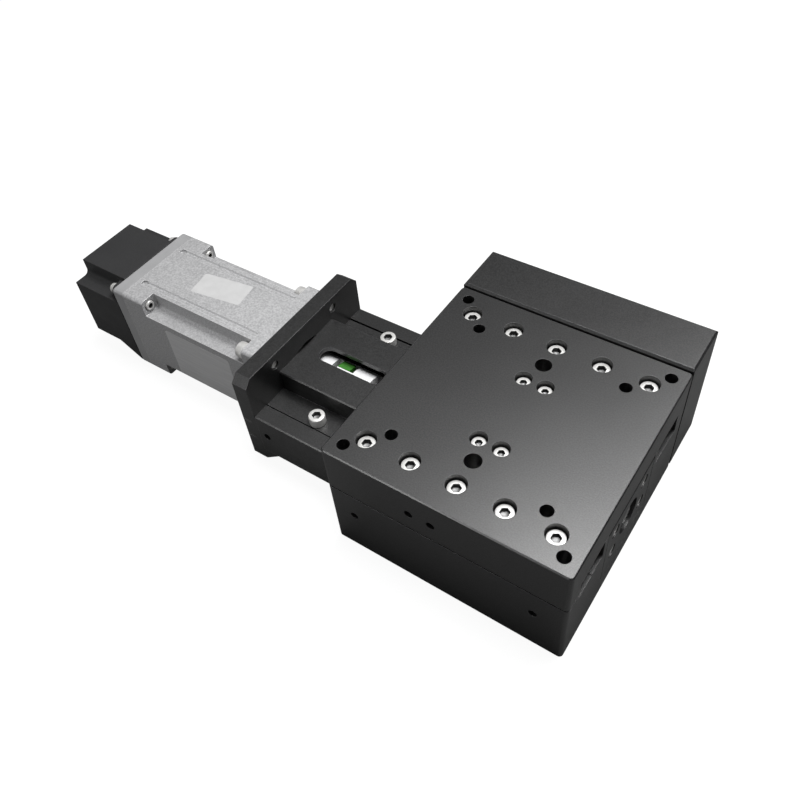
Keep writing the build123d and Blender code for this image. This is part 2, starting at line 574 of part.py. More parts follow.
# Coupling cover: hat section with a long slot over the coupling.
with BuildPart() as coupling_cover:
    block(COVER_X, (COVER_GAP - SHELF_HALF, SHELF_HALF - COVER_GAP), (COVER_SHELF, COVER_FLANGE_TOP))
    block(COVER_X, (-COVER_HALF, COVER_HALF), (COVER_FLANGE_TOP, COVER_TOP))
    chamfer(coupling_cover.edges().filter_by(Axis.X).group_by(Axis.Z)[-1], EDGE_CHAMFER)
    inside = COVER_HALF - COVER_WALL
    block(COVER_X, (-inside, inside), (COVER_SHELF, COVER_TOP - COVER_WALL), Mode.SUBTRACT)
    with BuildSketch(Plane.XY.offset(COVER_TOP)):
        with Locations((middle(SLOT_X), 0)):
            SlotOverall(length(SLOT_X), 2 * SLOT_HALF)
    extrude(amount=-2 * COVER_WALL, mode=Mode.SUBTRACT)
    holes(Plane.XY.offset(COVER_FLANGE_TOP), cover_screw_points, CLEAR[5], COVER_FLANGE_TOP - COVER_SHELF)

with BuildPart() as cover_screws:
    cap_screws(Plane.XY.offset(COVER_FLANGE_TOP), cover_screw_points, 5, 13.0)

# Motor bracket: upright plate with a sloping heel under the coupling housing.
MOTOR_BOLTS = corners(MOTOR_BOLT, MOTOR_BOLT)
with BuildPart() as motor_bracket:
    block(BRACKET_X, (-HOUSING_HALF, HOUSING_HALF), BRACKET_Z)
    chamfer(motor_bracket.edges().filter_by(Axis.X).group_by(Axis.Z)[-1], BRACKET_CHAMFER)
    with BuildSketch(facing_near(-HOUSING_HALF)) as heel:
        with BuildLine():
            Polyline(
                (BRACKET_X[1], BRACKET_Z[0]),
                (BRACKET_X[1] + HEEL_REACH, BASE_FLOOR),
                (BRACKET_X[1], BASE_FLOOR),
                close=True,
            )
        make_face()
    extrude(amount=-2 * HOUSING_HALF)
    holes(facing_left(BRACKET_X[0]), [(0, 0)], PILOT_RADIUS + SHAFT_PLAY, length(BRACKET_X))
    holes(facing_left(BRACKET_X[0]), MOTOR_BOLTS, TAPPED[5], length(BRACKET_X))
    holes(facing_left(BRACKET_X[0]), TIE_BOLTS, SUNK[5], TIE_BOLT_SINK)
    holes(facing_left(BRACKET_X[0]), TIE_BOLTS, CLEAR[5], length(BRACKET_X))

with BuildPart() as tie_bolts:
    tie_bolt_grip = BRACKET_THICKNESS - TIE_BOLT_SINK + HOUSING_LENGTH + 11.7
    cap_screws(facing_left(BRACKET_X[0] + TIE_BOLT_SINK), TIE_BOLTS, 5, tie_bolt_grip)

# Motor body: square die-cast housing with open channels along its four corners.
BODY_NOTCH_X = (MOTOR_X[0] + REAR_FLANGE, MOTOR_X[1] - FRONT_FLANGE)
GROOVE_X = (GROOVE_START, BODY_NOTCH_X[1])
CAP_SCREWS = corners(CAP_SCREW, CAP_SCREW)


def corner_notches(x, size, notch, inner_radius):
    """Take a square bar out of each corner along a stretch of a square housing."""
    with BuildSketch(facing_right(x[0])) as cut:
        with Locations(*corners(size / 2, size / 2)):
            RectangleRounded(2 * notch, 2 * notch, inner_radius)
    extrude(cut.sketch, amount=length(x), mode=Mode.SUBTRACT)


def casting_groove(y, v):
    """Shallow groove with drafted walls in the top or bottom face, from a round ejector mark forward."""
    face = v * MOTOR_SIZE / 2
    floor = v * (MOTOR_SIZE / 2 - GROOVE_DEPTH)
    with BuildSketch(facing_right(GROOVE_X[0])) as section:
        with BuildLine():
            mouth = ((y - GROOVE_MOUTH / 2, face), (y + GROOVE_MOUTH / 2, face))
            Polyline(*mouth, (y + GROOVE_FLOOR / 2, floor), (y - GROOVE_FLOOR / 2, floor), close=True)
        make_face()
    extrude(section.sketch, amount=length(GROOVE_X), mode=Mode.SUBTRACT)
    mark_radius, mark_depth = GROOVE_END
    discs(Plane.XY.offset(AXIS_Z + face), [(GROOVE_X[0], y)], mark_radius, -v * mark_depth, Mode.SUBTRACT)


with BuildPart() as motor_body:
    with BuildSketch(facing_right(MOTOR_X[0])):
        RectangleRounded(MOTOR_SIZE, MOTOR_SIZE, CORNER_RADIUS)
    extrude(amount=length(MOTOR_X))
    corner_notches(BODY_NOTCH_X, MOTOR_SIZE, CORNER_NOTCH, NOTCH_ROUND)
    for v in (-1, 1):
        for u in (-1, 1):
            casting_groove(u * GROOVE_Y, v)
    discs(facing_right(MOTOR_X[1]), [(0, 0)], PILOT_RADIUS, PILOT_DEPTH)
    holes(facing_left(MOTOR_X[0]), [(0, 0)], STATOR_RADIUS + SHAFT_PLAY, MOTOR_LENGTH - 13.0)
    holes(facing_left(MOTOR_X[0]), [(0, 0)], BEARING_RADIUS + SHAFT_PLAY, MOTOR_BEARING_X[1] - MOTOR_X[0])
    holes(facing_right(MOTOR_X[1] + PILOT_DEPTH), [(0, 0)], 5.5, 5.0)
    holes(facing_right(MOTOR_X[1]), MOTOR_BOLTS, CLEAR[5], FRONT_FLANGE)
    holes(facing_left(MOTOR_X[0]), MOTOR_BOLTS, CLEAR[3], REAR_FLANGE)
    holes(facing_right(BODY_NOTCH_X[0]), MOTOR_BOLTS, SUNK[3], SHIELD_SCREW_SINK)

with BuildPart() as rear_shield:
    with BuildSketch(facing_right(SHIELD_X[0])):
        RectangleRounded(MOTOR_SIZE, MOTOR_SIZE, CORNER_RADIUS)
    extrude(amount=length(SHIELD_X))
    fillet(rear_shield.faces().sort_by(Axis.X)[0].edges(), SHIELD_ROUND)
    holes(facing_right(SHIELD_X[1]), [(0, 0)], BEARING_RADIUS + SHAFT_PLAY, length(SHIELD_BEARING_X))
    holes(facing_right(SHIELD_X[1]), [(0, 0)], 6.0, length(SHIELD_X))
    holes(facing_right(SHIELD_X[1]), MOTOR_BOLTS, TAPPED[3], 4.6)
    holes(facing_left(SHIELD_X[0]), CAP_SCREWS, TAPPED[3], 3.0)

with BuildPart() as encoder_cap:
    with BuildSketch(facing_right(CAP_X[0])):
        RectangleRounded(CAP_SIZE, CAP_SIZE, 1.0)
    extrude(amount=length(CAP_X))
    corner_notches(CAP_X, CAP_SIZE, CAP_NOTCH, 3.0)
    with BuildSketch(facing_right(CAP_X[0] + CAP_WALL)):
        Rectangle(2 * CAP_HOLLOW, CAP_SIZE - 2 * CAP_WALL)
        Rectangle(CAP_SIZE - 2 * CAP_WALL, 2 * CAP_HOLLOW)
    extrude(amount=length(CAP_X) - CAP_WALL, mode=Mode.SUBTRACT)
    ear_x = CAP_X[1] - CAP_EAR
    ear_middle = (CAP_HOLLOW + EAR_REACH) / 2
    with BuildSketch(facing_right(ear_x)) as ears:
        with Locations(*corners(ear_middle, ear_middle)):
            RectangleRounded(EAR_REACH - CAP_HOLLOW, EAR_REACH - CAP_HOLLOW, EAR_ROUND)
    extrude(ears.sketch, amount=CAP_EAR)
    wall_foot = AXIS_Z - CAP_SIZE / 2 + CAP_NOTCH
    for side_y in (-CAP_SIZE / 2, CAP_SIZE / 2 - CAP_GUSSET):
        with BuildSketch(facing_near(side_y)) as gusset:
            with BuildLine():
                low_corner = (CAP_X[1], wall_foot - CAP_NOTCH + 1.0)
                Polyline((ear_x - GUSSET_REACH, wall_foot), (CAP_X[1], wall_foot), low_corner, close=True)
            make_face()
        extrude(gusset.sketch, amount=-CAP_GUSSET)
    holes(facing_left(ear_x), CAP_SCREWS, CLEAR[3], CAP_EAR)

with BuildPart() as motor_screws:
    cap_screws(facing_left(MOTOR_X[1] - FRONT_FLANGE), MOTOR_BOLTS, 5, 17.0)

with BuildPart() as shield_screws:
    cap_screws(facing_right(BODY_NOTCH_X[0] - SHIELD_SCREW_SINK), MOTOR_BOLTS, 3, 17.5)

with BuildPart() as encoder_cap_screws:
    cap_screws(facing_left(CAP_X[1] - CAP_EAR), CAP_SCREWS, 3, 6.4)

# Motor inside: wound stator, magnet rotor and the encoder on the shaft's tail.
STATOR_X = (MOTOR_X[0] + 23.5, MOTOR_X[1] - 23.0)
with BuildPart() as stator_core:
    ring(STATOR_X, STATOR_RADIUS, AIR_GAP_RADIUS + 0.3)

with BuildPart() as windings:
    for span in ((STATOR_X[0] - 6.0, STATOR_X[0]), (STATOR_X[1], STATOR_X[1] + 6.0)):
        ring(span, STATOR_RADIUS - 2.0, AIR_GAP_RADIUS + 1.2)

MOTOR_SHAFT_STEPS = (
    ((SHIELD_X[0] - 10.5, SHIELD_X[1]), JOURNAL_RADIUS),
    ((SHIELD_X[1], MOTOR_BEARING_X[0]), 6.0),
    ((MOTOR_BEARING_X[0], MOTOR_HUB_X[1]), MOTOR_SHAFT_RADIUS),
)
with BuildPart() as motor_shaft:
    for span, radius in MOTOR_SHAFT_STEPS:
        discs(facing_right(span[0]), [(0, 0)], radius, length(span))

with BuildPart() as rotor_magnets:
    ring((STATOR_X[0] + 1.0, STATOR_X[1] - 1.0), AIR_GAP_RADIUS - 0.3, 6.01)

with BuildPart() as encoder_disc:
    ring((SHIELD_X[0] - 8.5, SHIELD_X[0] - 7.3), CAP_HOLLOW - 0.8, JOURNAL_RADIUS + BORE_PLAY)

with BuildPart() as encoder_board:
    board_y = CAP_SIZE / 2 - CAP_WALL - RUNNING_PLAY
    board_z = CAP_HOLLOW - RUNNING_PLAY
    block((SHIELD_X[0] - 17.5, SHIELD_X[0] - 15.9), (-board_y, board_y), (AXIS_Z - board_z, AXIS_Z + board_z))

# Plug sockets for motor power and encoder signals, on the far side of the motor.
with BuildPart() as motor_sockets:
    for x, y, z in (
        ((SHIELD_X[0] + 1.0, MOTOR_X[0] + 4.0), (MOTOR_SIZE / 2, MOTOR_SIZE / 2 + 6.8), (20.0, 38.0)),
        ((CAP_X[0] + 6.0, CAP_X[0] + 18.0), (CAP_SIZE / 2, CAP_SIZE / 2 + 6.0), (24.0, 38.0)),
    ):
        block(x, y, z)
        recess = ((x[0] + 1.2, x[1] - 1.2), (y[0] + 2.0, y[1]), (z[0] + 1.2, z[1] - 1.2))
        block(*recess, mode=Mode.SUBTRACT)

# Sensor box: cover shell over a bent mount that carries the sensors and the encoder head.
BOSS_X = HALF_LENGTH - 16.0
COVER_BOSSES = [(-BOSS_X, 14.0), (BOSS_X, 14.0), (-BOSS_X, 56.0), (BOSS_X, 56.0)]
CONNECTOR = (30.0, 34.0)
with BuildPart() as sensor_cover:
    block(ALONG, BOX_Y, (0.0, BOX_TOP))
    chamfer(sensor_cover.faces().sort_by(Axis.Z)[-1].edges(), BOX_CHAMFER)
    cavity_x = (-HALF_LENGTH + BOX_WALL, HALF_LENGTH - BOX_WALL)
    block(cavity_x, (BOX_Y[0], BOX_Y[1] - BOX_WALL), (0.0, BOX_TOP - BOX_WALL), Mode.SUBTRACT)
    holes(facing_far(BOX_Y[1]), COVER_BOSSES, CLEAR[3], BOX_WALL)
    holes(facing_far(BOX_Y[1]), [(-CONNECTOR[0], CONNECTOR[1])], 6.6, BOX_WALL)

with BuildPart() as sensor_mount:
    along_mount = (-HALF_LENGTH + 8.0, HALF_LENGTH - 8.0)
    shelf_foot, shelf_top = MOUNT_SHELF_Z
    block(along_mount, MOUNT_Y, (4.0, shelf_top))
    block(along_mount, (MOUNT_Y[1], MOUNT_BACK_Y[1]), MOUNT_SHELF_Z)
    block(along_mount, MOUNT_BACK_Y, (shelf_top, MOUNT_TOP))
    boss_end = BOX_Y[1] - BOX_WALL
    discs(facing_far(MOUNT_BACK_Y[1]), COVER_BOSSES[2:], 4.0, boss_end - MOUNT_BACK_Y[1])
    discs(facing_far(MOUNT_Y[1]), COVER_BOSSES[:2], 4.0, boss_end - MOUNT_Y[1])
    holes(facing_far(boss_end), COVER_BOSSES, TAPPED[3], 6.5)
    holes(facing_far(MOUNT_Y[1]), FOOT_SCREWS, CLEAR[4], length(MOUNT_Y))

with BuildPart() as sensor_mount_screws:
    cap_screws(facing_far(MOUNT_Y[1]), FOOT_SCREWS, 4, 12.0)

with BuildPart() as sensor_cover_screws:
    cap_screws(facing_far(BOX_Y[1]), COVER_BOSSES, 3, 9.0)

with BuildPart() as sensor_board:
    block((-36.0, 36.0), BOARD_Y, (BOARD_FOOT, MOUNT_TOP))

with BuildPart() as position_sensors:
    for x in (-LIMIT_SENSOR_X, 0.0, LIMIT_SENSOR_X):
        sensor_x = (x - SENSOR_HALF, x + SENSOR_HALF)
        mouth_y = (SENSOR_Y[0], SENSOR_Y[0] + SENSOR_MOUTH)
        block(sensor_x, SENSOR_Y, (SENSOR_HEIGHT - 5.0, SENSOR_HEIGHT + 5.0))
        block(sensor_x, mouth_y, (SENSOR_HEIGHT - 2.5, SENSOR_HEIGHT + 2.5), Mode.SUBTRACT)

with BuildPart() as sensor_flag:
    bend_y = HALF_WIDTH + FLAG_ROOT
    block((-12.0, 12.0), (HALF_WIDTH, bend_y), (BOARD_FOOT, SENSOR_HEIGHT + 0.5))
    block((-12.0, 12.0), (bend_y, HALF_WIDTH + FLAG_REACH), (SENSOR_HEIGHT - 0.5, SENSOR_HEIGHT + 0.5))

with BuildPart() as encoder_scale:
    block((-40.0, 40.0), (HALF_WIDTH, HALF_WIDTH + 0.4), (43.0, 49.0))

with BuildPart() as read_head:
    block((-14.0, 14.0), (HALF_WIDTH + 1.2, HALF_WIDTH + 14.0), (shelf_top, shelf_top + 10.5))

with BuildPart() as sensor_connector:
    with BuildSketch(facing_far(BOX_Y[1])):
        with Locations((-CONNECTOR[0], CONNECTOR[1])):
            RectangleRounded(18.0, 18.0, 2.0)
    extrude(amount=2.0)
    discs(facing_far(BOX_Y[1]), [(-CONNECTOR[0], CONNECTOR[1])], 6.5, -6.0)
    discs(facing_far(BOX_Y[1] + 2.0), [(-CONNECTOR[0], CONNECTOR[1])], 7.0, 6.5)
    holes(facing_far(BOX_Y[1] + 8.5), [(-CONNECTOR[0], CONNECTOR[1])], 5.6, 6.5)

PIECES = {
    "base": base,
    "coupling_housing": coupling_housing,
    "motor_bracket": motor_bracket,
    "tie_bolts": tie_bolts,
    "coupling_cover": coupling_cover,
    "cover_screws": cover_screws,
    "drive_housing": drive_housing,
    "end_plate": end_plate,
    "bearing_unit_screws": bearing_unit_screws,
    "bearing_retainer": bearing_retainer,
    "retainer_screws": retainer_screws,
    "bearing_outer_rings": bearing_outer_rings,
    "near_inner_rail": near_inner_rail,
    "far_inner_rail": far_inner_rail,
    "inner_rail_screws": inner_rail_screws,
    "cage_stops": cage_stops,
    "travel_bumpers": travel_bumpers,
    "table": table,
    "table_screws": table_screws,
    "near_outer_rail": near_outer_rail,
    "far_outer_rail": far_outer_rail,
    "nut_bracket": nut_bracket,
    "nut_bracket_screws": nut_bracket_screws,
    "ball_nut": ball_nut,
    "ball_nut_screws": ball_nut_screws,
    "sensor_flag": sensor_flag,
    "encoder_scale": encoder_scale,
    "near_cage": near_cage,
    "near_rollers": near_rollers,
    "far_cage": far_cage,
    "far_rollers": far_rollers,
    "ball_screw": ball_screw,
    "bearing_inner_rings": bearing_inner_rings,
    "lock_nut": lock_nut,
    "screw_hub": screw_hub,
    "spider": spider,
    "motor_hub": motor_hub,
    "coupling_set_screws": coupling_set_screws,
    "motor_shaft": motor_shaft,
    "rotor_magnets": rotor_magnets,
    "encoder_disc": encoder_disc,
    "motor_body": motor_body,
    "rear_shield": rear_shield,
    "encoder_cap": encoder_cap,
    "motor_screws": motor_screws,
    "shield_screws": shield_screws,
    "encoder_cap_screws": encoder_cap_screws,
    "stator_core": stator_core,
    "windings": windings,
    "encoder_board": encoder_board,
    "motor_sockets": motor_sockets,
    "sensor_cover": sensor_cover,
    "sensor_cover_screws": sensor_cover_screws,
    "sensor_mount": sensor_mount,
    "sensor_mount_screws": sensor_mount_screws,
    "sensor_board": sensor_board,
    "position_sensors": position_sensors,
    "read_head": read_head,
    "sensor_connector": sensor_connector,
}
for label, piece in PIECES.items():
    piece.part.label = label
    export_step(piece.part, f"parts/{label}.step")
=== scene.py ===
import math

import bmesh
import bpy
import numpy as np
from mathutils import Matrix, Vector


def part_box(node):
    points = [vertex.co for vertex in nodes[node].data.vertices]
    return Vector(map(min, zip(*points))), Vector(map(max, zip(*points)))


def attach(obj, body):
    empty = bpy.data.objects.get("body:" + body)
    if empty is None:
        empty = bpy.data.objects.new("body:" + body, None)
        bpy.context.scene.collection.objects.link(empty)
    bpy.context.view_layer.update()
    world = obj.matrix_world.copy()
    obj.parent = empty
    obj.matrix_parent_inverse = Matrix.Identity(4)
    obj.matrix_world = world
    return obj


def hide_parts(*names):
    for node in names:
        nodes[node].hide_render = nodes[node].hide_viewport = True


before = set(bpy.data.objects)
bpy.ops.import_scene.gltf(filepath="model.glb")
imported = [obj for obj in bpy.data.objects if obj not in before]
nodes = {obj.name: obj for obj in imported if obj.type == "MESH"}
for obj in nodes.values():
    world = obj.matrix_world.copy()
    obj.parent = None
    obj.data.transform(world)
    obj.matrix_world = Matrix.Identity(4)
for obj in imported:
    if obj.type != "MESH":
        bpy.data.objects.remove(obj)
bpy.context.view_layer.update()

# ---------------------------------------------------------------- camera
# Looks down on the stage from its free end, with the motor far to the left. The lens is shifted
# a little, so that the stage sits in the frame without turning the camera.
camera_lens = bpy.data.cameras.new("camera")
camera_lens.sensor_width = 36.0
camera_lens.lens = 37.43
camera_lens.shift_x = -0.0044
camera_lens.shift_y = -0.0231
camera_lens.clip_start = 0.01
camera = bpy.data.objects.new("camera", camera_lens)
camera.location = (0.10872, -0.20801, 0.35097)
camera.rotation_euler = [math.radians(angle) for angle in (41.795, 4.238, 33.887)]
bpy.context.scene.collection.objects.link(camera)
bpy.context.scene.camera = camera
bpy.context.scene.view_settings.view_transform = "Standard"

# ---------------------------------------------------------------- studio
# A white table in a white room. One large soft box hangs almost overhead, a weaker one hangs
# over the motor, a third stands in front and a small one stands behind the far side. The white
# that the camera sees comes from the colours of the room and the table, and not from the lamps.


def soft_box(name, place, aim, size, watts):
    """Square area lamp at a place, turned so that it faces the aim point."""
    lamp = bpy.data.lights.new(name, "AREA")
    lamp.shape = "SQUARE"
    lamp.size = size
    lamp.energy = watts
    holder = bpy.data.objects.new(name, lamp)
    holder.location = place
    toward = Vector(aim) - Vector(place)
    holder.rotation_euler = toward.to_track_quat("-Z", "Y").to_euler()
    bpy.context.scene.collection.objects.link(holder)


soft_box("box_over_table", (0.06, 0.17, 0.93), (0.03, -0.03, 0.06), 0.48, 11.0)
soft_box("box_in_front", (-0.45, -1.00, 0.50), (-0.15, -0.03, 0.05), 0.3, 3.0)
soft_box("box_at_motor", (-0.50, 0.20, 1.05), (-0.16, 0.0, 0.03), 0.5, 0.5)
soft_box("box_at_far_side", (0.16, 0.66, 0.86), (0.05, 0.04, 0.06), 0.25, 2.5)

WHITE = (1.0, 1.0, 1.0, 1.0)


def white_source(tree, kind, strength):
    """White background or emission of a given strength."""
    source = tree.nodes.new(kind)
    source.inputs["Color"].default_value = WHITE
    source.inputs["Strength"].default_value = strength
    return source.outputs[0]


def by_ray(tree, ray, otherwise, for_ray):
    """The second shader for one kind of ray, and the first for all others."""
    rays = tree.nodes.new("ShaderNodeLightPath")
    mix = tree.nodes.new("ShaderNodeMixShader")
    tree.links.new(rays.outputs[ray], mix.inputs[0])
    tree.links.new(otherwise, mix.inputs[1])
    tree.links.new(for_ray, mix.inputs[2])
    return mix.outputs[0]


world = bpy.data.worlds.new("white_room")
bpy.context.scene.world = world
world.use_nodes = True
room = world.node_tree
room.nodes.clear()
room_seen = white_source(room, "ShaderNodeBackground", 1.0)
room_light = white_source(room, "ShaderNodeBackground", 0.14)
room_mirrored = white_source(room, "ShaderNodeBackground", 0.17)
room_unseen = by_ray(room, "Is Glossy Ray", room_light, room_mirrored)
room_out = room.nodes.new("ShaderNodeOutputWorld")
room.links.new(by_ray(room, "Is Camera Ray", room_unseen, room_seen), room_out.inputs["Surface"])

MM = 0.001
FLOOR_HALF, FLOOR_GAP = 6.0, 0.4 * MM
floor_mesh = bpy.data.meshes.new("floor")
corner_signs = ((-1, -1), (1, -1), (1, 1), (-1, 1))
floor_corners = [(x * FLOOR_HALF, y * FLOOR_HALF, -FLOOR_GAP) for x, y in corner_signs]
floor_mesh.from_pydata(floor_corners, [], [(0, 1, 2, 3)])
floor = bpy.data.objects.new("floor", floor_mesh)
bpy.context.scene.collection.objects.link(floor)

floor_paint = bpy.data.materials.new("white_floor")
floor_paint.use_nodes = True
paint = floor_paint.node_tree
paint.nodes.clear()
matte = paint.nodes.new("ShaderNodeBsdfDiffuse")
matte.inputs["Color"].default_value = (0.14, 0.14, 0.14, 1.0)
glowing = paint.nodes.new("ShaderNodeAddShader")
paint.links.new(matte.outputs[0], glowing.inputs[0])
paint.links.new(white_source(paint, "ShaderNodeEmission", 0.92), glowing.inputs[1])
floor_look = by_ray(paint, "Is Camera Ray", matte.outputs[0], glowing.outputs[0])
floor_out = paint.nodes.new("ShaderNodeOutputMaterial")
paint.links.new(floor_look, floor_out.inputs["Surface"])
floor_mesh.materials.append(floor_paint)

# ---------------------------------------------------------------- stage body, table and covers
# Milled aluminium blocks, bead-blasted and anodised black. The blasting leaves fine pits, the milled
# edges are painted lighter, part wear and part painted highlight, and handling polishes soft patches on the
# faces.


def new_finish(name, **constants):
    """A material whose constant shader values are set on the shader's own sockets."""
    material = bpy.data.materials.new(name)
    material.use_nodes = True
    shader = material.node_tree.nodes["Principled BSDF"]
    for socket, value in constants.items():
        shader.inputs[socket.replace("_", " ")].default_value = value
    return material, material.node_tree, shader


def lumps(tree, per_metre, detail=2.0, stretch=(1.0, 1.0, 1.0)):
    """Noise on object coordinates, so many lumps per metre, packed closer along stretched axes."""
    place = tree.nodes.new("ShaderNodeTexCoord")
    scale = tree.nodes.new("ShaderNodeMapping")
    scale.inputs["Scale"].default_value = stretch
    noise = tree.nodes.new("ShaderNodeTexNoise")
    noise.inputs["Scale"].default_value = per_metre
    noise.inputs["Detail"].default_value = detail
    tree.links.new(place.outputs["Object"], scale.inputs["Vector"])
    tree.links.new(scale.outputs["Vector"], noise.inputs["Vector"])
    return noise.outputs["Fac"]


def spread(tree, value, low, high, start=0.3, end=0.7):
    """The value's run from start to end laid over the run from low to high, without overshoot."""
    run = tree.nodes.new("ShaderNodeMapRange")
    for socket, number in zip(("From Min", "From Max", "To Min", "To Max"), (start, end, low, high)):
        run.inputs[socket].default_value = number
    tree.links.new(value, run.inputs["Value"])
    return run.outputs["Result"]


def shades(tree, value, dark, light, start=0.3, end=0.7):
    """Colour that goes from dark to light as the value goes from start to end."""
    ramp = tree.nodes.new("ShaderNodeValToRGB")
    for element, position, colour in zip(ramp.color_ramp.elements, (start, end), (dark, light)):
        element.position = position
        element.color = (*colour, 1.0)
    tree.links.new(value, ramp.inputs["Fac"])
    return ramp.outputs["Color"]


def mixed(tree, fraction, first, second):
    """Colour mix: the first where the fraction is 0 and the second where it is 1."""
    mix = tree.nodes.new("ShaderNodeMix")
    mix.data_type = "RGBA"
    tree.links.new(fraction, mix.inputs["Factor"])
    tree.links.new(first, mix.inputs[6])
    tree.links.new(second, mix.inputs[7])
    return mix.outputs[2]


def rounded_edges(tree, radius):
    """Surface direction with sharp edges eased over the radius, in metres."""
    ease = tree.nodes.new("ShaderNodeBevel")
    ease.samples = 4
    ease.inputs["Radius"].default_value = radius
    return ease.outputs["Normal"]


def edge_rub_and_highlight(tree, radius, reach):
    """0 on flats and 1 on edges, the mask for edges painted lighter as wear and painted highlight: one less
    the cosine between true and eased directions, over reach.
    """
    flat = tree.nodes.new("ShaderNodeNewGeometry")
    cosine = tree.nodes.new("ShaderNodeVectorMath")
    cosine.operation = "DOT_PRODUCT"
    tree.links.new(rounded_edges(tree, radius), cosine.inputs[0])
    tree.links.new(flat.outputs["Normal"], cosine.inputs[1])
    return spread(tree, cosine.outputs["Value"], 0.0, 1.0, 1.0, 1.0 - reach)


def pitted(tree, shader, pits, under=None):
    """Bump nodes in a row, one for each (height, depth in metres, strength)."""
    normal = under
    for height, depth, strength in pits:
        bump = tree.nodes.new("ShaderNodeBump")
        bump.inputs["Strength"].default_value = strength
        bump.inputs["Distance"].default_value = depth
        tree.links.new(height, bump.inputs["Height"])
        if normal is not None:
            tree.links.new(normal, bump.inputs["Normal"])
        normal = bump.outputs["Normal"]
    tree.links.new(normal, shader.inputs["Normal"])


def coat(material, *names):
    """Put a finish on CAD nodes."""
    for name in names:
        for place in nodes[name].material_slots:
            place.material = material


anodised, tree, shader = new_finish("black_anodised", Specular_IOR_Level=0.8)
cloud = lumps(tree, 38.0, 3.0)
blast = lumps(tree, 2300.0, 2.0)
grain = lumps(tree, 1500.0, 2.0)
tone = shades(tree, grain, (0.001, 0.001, 0.0011), (0.016, 0.016, 0.0163), 0.38, 0.62)
worn_and_highlit = shades(tree, lumps(tree, 420.0, 3.0), (0.05, 0.05, 0.052), (0.13, 0.13, 0.132))
# Edges painted lighter grey: part wear, part painted highlight of the chamfers.
tree.links.new(mixed(tree, edge_rub_and_highlight(tree, 0.00035, 0.2), tone, worn_and_highlit), shader.inputs["Base Color"])
tree.links.new(spread(tree, cloud, 0.33, 0.35), shader.inputs["Roughness"])
pitted(tree, shader, [(grain, 0.00006, 0.6), (blast, 0.00004, 0.5)], rounded_edges(tree, 0.0003))
coat(
    anodised,
    "base", "table", "coupling_housing", "coupling_cover", "motor_bracket", "drive_housing", "end_plate",
    "bearing_retainer", "nut_bracket", "sensor_cover", "sensor_mount",
)

# ---------------------------------------------------------------- motor housing
# Two aluminium die castings, the finned body and the rear shield, left silver after blasting.
# The body's skin is coarse and mottled, with edges painted brighter as part wear and part painted
# highlight, and the shield's is finer and even.
casting, tree, shader = new_finish("silver_casting", Metallic=0.4)
skin = lumps(tree, 1100.0, 3.0)
grit = shades(tree, skin, (0.33, 0.33, 0.335), (0.48, 0.48, 0.485), 0.35, 0.65)
bright_worn_and_highlit = shades(tree, lumps(tree, 400.0, 3.0), (0.70, 0.70, 0.705), (0.85, 0.85, 0.855))
# Edges painted brighter: part wear, part painted highlight.
tree.links.new(mixed(tree, edge_rub_and_highlight(tree, 0.0005, 0.25), grit, bright_worn_and_highlit), shader.inputs["Base Color"])
tree.links.new(spread(tree, lumps(tree, 55.0, 3.0), 0.46, 0.58), shader.inputs["Roughness"])
pitted(tree, shader, [(skin, 0.0001, 0.5)], rounded_edges(tree, 0.0004))
coat(casting, "motor_body")

shield_skin, tree, shader = new_finish("shield_casting", Metallic=0.4)
skin = lumps(tree, 1500.0, 3.0)
cloudy = shades(tree, lumps(tree, 60.0, 3.0), (0.33, 0.33, 0.335), (0.40, 0.40, 0.405))
tree.links.new(cloudy, shader.inputs["Base Color"])
tree.links.new(spread(tree, skin, 0.44, 0.58), shader.inputs["Roughness"])
pitted(tree, shader, [(skin, 0.00008, 0.4)], rounded_edges(tree, 0.0004))
coat(shield_skin, "rear_shield")

# ---------------------------------------------------------------- encoder cap
# Injection-moulded cap of dark grey plastic with a fine spark-eroded texture. The shells of
# the two motor sockets are moulded from the same plastic.
plastic, tree, shader = new_finish("encoder_plastic", Specular_IOR_Level=0.4)
texture = lumps(tree, 2600.0, 2.0)
dark_grey = shades(tree, texture, (0.016, 0.016, 0.0165), (0.026, 0.026, 0.027))
tree.links.new(dark_grey, shader.inputs["Base Color"])
tree.links.new(spread(tree, lumps(tree, 60.0, 2.0), 0.48, 0.58), shader.inputs["Roughness"])
pitted(tree, shader, [(texture, 0.00005, 0.5)], rounded_edges(tree, 0.0005))
coat(plastic, "encoder_cap", "motor_sockets")

# ---------------------------------------------------------------- small metal parts
# Bare metal parts, turned, ground or stamped: screws, rails, cages, rollers, rings, shafts and
# hubs, and the motor's laminated core, magnets and copper windings.


def turned(name, dark, light, rough, per_metre, stretch=(1.0, 1.0, 1.0), metallic=1.0, eased=True):
    """Bare metal with tool marks that run the way the noise is stretched."""
    material, tree, shader = new_finish(name, Metallic=metallic)
    marks = lumps(tree, per_metre, 3.0, stretch)
    tree.links.new(shades(tree, lumps(tree, 300.0, 3.0), dark, light), shader.inputs["Base Color"])
    tree.links.new(spread(tree, marks, rough[0], rough[1]), shader.inputs["Roughness"])
    if eased:
        pitted(tree, shader, [(marks, 0.00002, 0.35)], rounded_edges(tree, 0.0002))
    else:
        pitted(tree, shader, [(marks, 0.00001, 0.12)])
    return material


